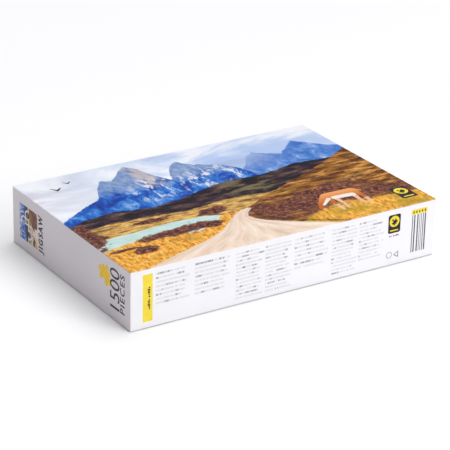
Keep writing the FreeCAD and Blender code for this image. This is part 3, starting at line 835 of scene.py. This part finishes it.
def lay(item, face, across, up, finish, turn=0.0):
    """Lay a flat piece modelled round the origin on a face of the lid, turned anticlockwise."""
    origin, right, rise = FACES[face]
    turn = math.radians(turn)
    x_axis = right * math.cos(turn) + rise * math.sin(turn)
    y_axis = rise * math.cos(turn) - right * math.sin(turn)
    place = origin + right * across * MM + rise * up * MM
    axes = Matrix((x_axis, y_axis, right.cross(rise))).transposed().to_4x4()
    item.matrix_world = Matrix.Translation(place) @ axes
    return give(settle(item), finish, "lid")


def patch(name, wide, tall, layer=1, corner=0.0):
    """A flat printed patch round the origin, in millimetres; a higher layer lies on a lower one."""
    wide, tall = wide * MM / 2, tall * MM / 2
    item = block(name, (-wide, -tall, -INK), (wide, tall, layer * INK))
    if corner:
        pick(item, "EDGE", upright)
        bpy.ops.mesh.bevel(offset=corner * MM, segments=5, affect="EDGES")
        done()
    return item


def join(name, items):
    free_hands()
    for item in items:
        item.select_set(True)
    bpy.context.view_layer.objects.active = items[0]
    if len(items) > 1:
        bpy.ops.object.join()
    items[0].name = items[0].data.name = name
    return items[0]


def moved(item, x, y):
    """Shift a flat piece, in millimetres, within its own plane."""
    item.location = (x * MM, y * MM, 0.0)
    return settle(item)


def boolean(item, tool, operation):
    apply_modifier(item, "BOOLEAN", operation=operation, object=tool, solver="EXACT")
    bpy.data.objects.remove(tool)
    return item


def disc(radius, depth, x=0.0, y=0.0, corners=32):
    free_hands()
    bpy.ops.mesh.primitive_cylinder_add(
        vertices=corners, radius=radius * MM, depth=depth, location=(x * MM, y * MM, 0.0))
    return settle(bpy.context.object)


def jigsaw(name, cell, sides, layer=1, gap=0.0):
    """A flat jigsaw piece in a square cell; right, upper, left and lower sides are 1, -1 or 0."""
    item = patch(name, cell - gap, cell - gap, layer)
    for index, sign in enumerate(sides):
        if not sign:
            continue
        away = cell * (0.5 + 0.1 * sign)
        x, y = away * math.cos(index * math.pi / 2), away * math.sin(index * math.pi / 2)
        radius = cell * 0.18
        if sign > 0:
            knob = disc(radius, (layer + 1) * INK, x, y)
            knob.location.z = (layer - 1) * INK / 2
            boolean(item, settle(knob), "UNION")
        else:
            boolean(item, disc(radius + gap, 8 * INK, x, y), "DIFFERENCE")
    return item


def ring(name, radius, thick, corners=32):
    """A flat ring, or with three corners a triangle's outline."""
    hole = disc(radius - thick / math.cos(math.pi / corners), 8 * INK, corners=corners)
    item = boolean(disc(radius, 2 * INK, corners=corners), hole, "DIFFERENCE")
    item.name = item.data.name = name
    return item


def word(name, text, tall, long, weight=0.0, spacing=1.0):
    """Plain lettering round the origin, with its height and length in millimetres."""
    free_hands()
    bpy.ops.object.text_add(location=(0, 0, 0))
    item = bpy.context.object
    item.data.body = text
    item.data.resolution_u = 4
    item.data.offset = weight
    item.data.space_character = spacing
    item.data.extrude = 0.01
    bpy.ops.object.convert(target="MESH")
    pick_all(item)
    bpy.ops.mesh.remove_doubles(threshold=1e-5)
    bpy.ops.mesh.normals_make_consistent(inside=False)
    done()
    bpy.ops.object.origin_set(type="ORIGIN_GEOMETRY", center="BOUNDS")
    item.location = (0, 0, 0)
    item.dimensions = (long * MM, tall * MM, 2 * INK)
    return settle(item, name)


def strokes(name, long, tall, seed, layer=1, coarse=1.0):
    """A line of small print that says nothing: short strokes of uneven length in a row."""
    rng = random.Random(seed)
    items = []
    start = -long / 2
    while start < long / 2:
        run = min(rng.uniform(0.5, 1.5) * coarse, long / 2 - start)
        high = tall * rng.choice((0.62, 0.62, 0.8, 1.0))
        stroke = patch(name, max(run, 0.3), high, layer)
        items.append(moved(stroke, start + run / 2, (high - tall) / 2))
        start += run + coarse * (0.45 if rng.random() < 0.8 else 1.4)
    return join(name, items)


def emblem(name, face, across, up, wide, tall):
    """A plain emblem: a black tile, a round yellow badge with a jigsaw piece on it, and a bar."""
    lay(patch(name + "_tile", wide, tall, 1, wide * 0.14), face, across, up, "black_ink")
    panel = moved(patch(name + "_panel", wide * 0.8, wide * 0.8, 2, wide * 0.39), 0.0, tall * 0.13)
    lay(panel, face, across, up, "yellow_ink")
    piece = moved(jigsaw(name + "_piece", wide * 0.36, (1, -1, -1, 1), 3), -wide * 0.02, tall * 0.12)
    lay(piece, face, across, up, "black_ink")
    bar = moved(patch(name + "_bar", wide * 0.66, tall * 0.07, 2), 0.0, -tall * 0.36)
    lay(bar, face, across, up, "yellow_ink")


# the long side
lay(patch("label_strip", 12, 55, 1), "front", 21, 35.5, "yellow_ink")
lay(strokes("label_strip_print", 28, 3.0, 3, 2, 1.5), "front", 22.6, 36, "black_ink", 90)
emblem("front_emblem", "front", 342.5, 51.2, 17, 22.5)
lay(strokes("front_emblem_print", 14, 1.8, 5, 1, 1.3), "front", 342.5, 36.7, "black_ink")
lay(ring("care_ring", 3.9, 0.55), "front", 337, 13.4, "grey_ink")
lay(ring("care_triangle", 4.6, 0.8, 3), "front", 347.6, 12.6, "grey_ink", 90)
stripes = []
stripe_rng = random.Random(12)
stripe_at = -10.0
while stripe_at < 9.4:
    stripe_wide = stripe_rng.choice((0.8, 1.2, 1.8))
    stripe = patch("stripe", stripe_wide, 46)
    stripes.append(moved(stripe, stripe_at + stripe_wide / 2, 0))
    stripe_at += stripe_wide + stripe_rng.choice((0.9, 1.5, 2.6))
lay(join("stripe_panel", stripes), "front", 377.5, 33, "grey_ink")
lay(patch("stripe_panel_strip", 22, 6), "front", 377.5, 59.4, "yellow_ink")
ticks = [moved(patch("tick", 1.5, 3.0, 2), 4.0 * index - 8.0, 0) for index in range(5)]
lay(join("stripe_panel_ticks", ticks), "front", 377.5, 59.2, "black_ink")

# the short side, read from below upwards
TILE_CELL = 22.6
TILE_PIECES = {
    "far_low": ((-1, -1), (1, 1, 0, 0)), "far_high": ((-1, 1), (-1, 0, 0, -1)),
    "near_low": ((1, -1), (0, -1, -1, 0)), "near_high": ((1, 1), (0, 0, 1, 1)),
}
for corner, ((step_across, step_up), sides) in TILE_PIECES.items():
    tile = jigsaw("picture_tile_" + corner, TILE_CELL, sides, 1, 2.2)
    lay(tile, "left", 38.5 + step_across * TILE_CELL / 2, 35.2 + step_up * TILE_CELL / 2, "tile_picture")
lay(word("range_word", "JIGSAW", 13.5, 46, 0.042, 1.3), "left", 69.5, 35.2, "black_ink", 90)
lay(jigsaw("count_icon", 19, (1, 1, -1, 1), 1), "left", 215.5, 45, "gold_ink", 66)
lay(word("count_figures", "1500", 20.5, 47, 0.002), "left", 236.8, 37.5, "black_ink", 90)
lay(word("count_word", "PIECES", 9.5, 45.5, 0.016, 1.2), "left", 253.2, 37.2, "black_ink", 90)

# the picture's corner
emblem("top_emblem", "top", 378.5, 34, 21, 32)
lay(strokes("top_emblem_print", 18, 3.6, 9, 1, 2.0), "top", 378.5, 54.5, "black_ink")


# ---- the tray's paper ----

TRAY_LOW, TRAY_HIGH = (Vector(corner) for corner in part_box("base_wrap"))
tray_cover = covering("tray_cover", TRAY_LOW, TRAY_HIGH, False)
give(solid_paper(tray_cover), "white_paper", "tray")
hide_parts("base_wrap")
give(lining("tray_lining", TRAY_LOW, TRAY_HIGH, TRAY_HIGH.z, TRAY_HIGH.z - PAPER - TURN_IN),
     "white_paper", "tray")


# ---- the pouch: thin film, loose over the heap and creased towards its sealed ends ----

BAG_LOW, BAG_HIGH = (Vector(corner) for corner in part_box("bag"))
FILM = 0.15 * MM
SEAL = 8 * MM
SEAL_HALF = 90 * MM
SEAL_LAP = 1.5 * MM
HEAP_ROOM = 0.25 * MM  # added over the frame's pouch, so that smoothing keeps the film off the pieces
POUCH_CORNER = 29 * MM
POUCH_SHOULDER = 20.5 * MM
POUCH_FOOT = 7 * MM
FILM_CELL = 2.7 * MM


def weigh(item, name, weight_at):
    """A vertex group whose weight is worked out from each vertex's place."""
    group = item.vertex_groups.new(name=name)
    for vertex in item.data.vertices:
        group.add([vertex.index], weight_at(vertex.co), "REPLACE")
    return name


def crease(item, direction, strength, group, name, kind, scale, stretch, **settings):
    """Push the film by a crease pattern, stretched by an empty that carries its coordinates."""
    pattern = bpy.data.textures.new(name, kind)
    pattern.noise_scale = scale
    for key, value in settings.items():
        setattr(pattern, key, value)
    carrier = bpy.data.objects.new(name + "_carrier", None)
    carrier.scale = stretch
    bpy.context.collection.objects.link(carrier)
    bpy.context.view_layer.update()
    apply_modifier(item, "DISPLACE", texture=pattern, texture_coords="OBJECT",
                   texture_coords_object=carrier, direction=direction, strength=strength,
                   mid_level=0.0, vertex_group=group)
    bpy.data.objects.remove(carrier)


def make_pouch():
    """The film between the seals, drawn in towards them, and the two crimped seals."""
    top = BAG_HIGH.z + HEAP_ROOM
    film = block("pouch_film", BAG_LOW + Vector((SEAL, 0, 0)), (BAG_HIGH.x - SEAL, BAG_HIGH.y, top))
    for test, offset, segments in (
            (upright, POUCH_CORNER, 10), (lambda points: level(points, top), POUCH_SHOULDER, 9),
            (lambda points: level(points, BAG_LOW.z), POUCH_FOOT, 5)):
        pick(film, "EDGE", test)
        bpy.ops.mesh.bevel(offset=offset, segments=segments, affect="EDGES")
        done()
    apply_modifier(film, "REMESH", mode="VOXEL", voxel_size=FILM_CELL)
    apply_modifier(film, "SMOOTH", iterations=3, factor=0.5)
    height = BAG_HIGH.z - BAG_LOW.z

    def over(point):
        """1 on top, 0 down the sides."""
        return min(max((point.z - BAG_LOW.z - 0.6 * height) / (0.3 * height), 0.0), 1.0)

    def near_end(point):
        """1 on top near a sealed end, fading towards the middle."""
        return over(point) * min(max((abs(point.x) - 0.25 * LENGTH) / (0.2 * LENGTH), 0.0), 1.0)

    def off_the_floor(point):
        return 1.0 if point.z > BAG_LOW.z + 6 * MM else 0.0

    upper = weigh(film, "upper", over)
    ends = weigh(film, "ends", near_end)
    sides = weigh(film, "sides", off_the_floor)
    crease(film, "Z", 1.4 * MM, upper, "slack", "CLOUDS", 0.045, (1.6, 0.8, 1.0), noise_depth=2)
    crease(film, "Z", 1.3 * MM, upper, "folds", "DISTORTED_NOISE", 0.03, (1.5, 0.7, 1.0), distortion=1.4)
    crease(film, "Z", 1.0 * MM, ends, "gathers", "CLOUDS", 0.014, (6.0, 1.0, 1.0), noise_depth=1)
    crease(film, "NORMAL", 0.9 * MM, sides, "crinkle", "DISTORTED_NOISE", 0.016, (1.0, 1.0, 1.0),
           distortion=1.0)
    apply_modifier(film, "SMOOTH", iterations=1, factor=0.4)
    apply_modifier(film, "SOLIDIFY", thickness=FILM, offset=-1.0)
    give(film, "clear_film", "pouch", 60.0)
    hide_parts("bag")

    middle = (BAG_LOW.z + BAG_HIGH.z) / 2
    for side, sign in (("left", -1), ("right", 1)):
        near, far = sorted((sign * (BAG_HIGH.x - SEAL - SEAL_LAP), sign * BAG_HIGH.x))
        seal = block("pouch_seal_" + side, (near, -SEAL_HALF, middle - FILM),
                     (far, SEAL_HALF, middle + FILM))
        pick_all(seal)
        bpy.ops.mesh.subdivide(number_cuts=40)
        done()
        everywhere = weigh(seal, "all", lambda point: 1.0)
        crease(seal, "Z", 0.6 * MM, everywhere, "crimp", "WOOD", 0.002, (0.0016, 10.0, 10.0),
               wood_type="BANDS")
        crease(seal, "Z", 2.5 * MM, everywhere, "wave", "CLOUDS", 0.03, (2.0, 1.0, 1.0), noise_depth=1)
        give(seal, "clear_film", "pouch", 60.0)
        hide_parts("bag")


make_pouch()


# ---- the board, tape and pieces that come from the frame ----

for name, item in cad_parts.items():
    for mark, finish in (("_board", "greyboard"), ("corner_stay", "kraft_tape"), ("bag", "clear_film"),
                         ("picture_up", "piece_picture_up"), ("back_up", "piece_back_up")):
        if mark in name:
            item.data.materials.clear()
            item.data.materials.append(FINISHES[finish])


# ---- the room: camera, floor, light ----

CAMERA_PLACE = (-1.1844, -1.8468, 0.9897)
CAMERA_TARGET = (-0.0053, -0.01226, 0.035)
CAMERA_ROLL = 1.2067
LAMP_PLACE = (1.2, -3.2, 1.9)


def studio_floor(net, shader, place):
    net.feed(shader.inputs["Base Color"], net.tones(
        net.noise(place, 1.5, 2.0), (0.0, 247, 247, 248), (1.0, 250, 250, 251)))
    shader.inputs["Roughness"].default_value = 0.9


def aim(item, place, target, roll=0.0):
    """Put a camera or lamp at a place, looking at a target, rolled anticlockwise by degrees."""
    view = (Vector(target) - Vector(place)).to_track_quat("-Z", "Y").to_matrix().to_4x4()
    item.matrix_world = Matrix.Translation(place) @ view @ Matrix.Rotation(math.radians(roll), 4, "Z")
    bpy.context.collection.objects.link(item)


def room():
    free_hands()
    bpy.ops.mesh.primitive_plane_add(size=14.0, location=(0, 0, 0))
    floor = bpy.context.object
    floor.name = "studio_floor"
    floor.data.materials.append(finish_material("studio_floor", studio_floor))

    lens = bpy.data.cameras.new("camera")
    lens.sensor_width = 36.0
    lens.lens = 167.2
    lens.clip_end = 50.0
    camera = bpy.data.objects.new("camera", lens)
    aim(camera, CAMERA_PLACE, CAMERA_TARGET, CAMERA_ROLL)
    bpy.context.scene.camera = camera

    lamp = bpy.data.lights.new("key", "AREA")
    lamp.shape = "SQUARE"
    lamp.size = 1.6
    lamp.energy = 52.0
    aim(bpy.data.objects.new("key", lamp), LAMP_PLACE, (0, 0, 0))

    # a dome, bright overhead and brighter to the right, so the box's short side stays in shade
    world = bpy.data.worlds.new("studio")
    bpy.context.scene.world = world
    world.use_nodes = True
    net = Net(world.node_tree)
    ways = net.node("SeparateXYZ", {"Vector": net.node("TexCoord").outputs["Generated"]}).outputs
    dome = net.ramp(ways[2], (0.0, (0.04, 0.04, 0.045)), (0.5, (0.12, 0.12, 0.13)),
                    (1.0, (1.0, 1.0, 1.0)))
    dome = net.vector("SCALE", dome, net.line(net.between(ways[0], -0.7, 0.5), 0.75, 0.35))
    light = world.node_tree.nodes["Background"]
    net.feed(light.inputs["Color"], dome)
    net.feed(light.inputs["Strength"], 2.5)
    bpy.context.scene.view_settings.view_transform = "Standard"


room()
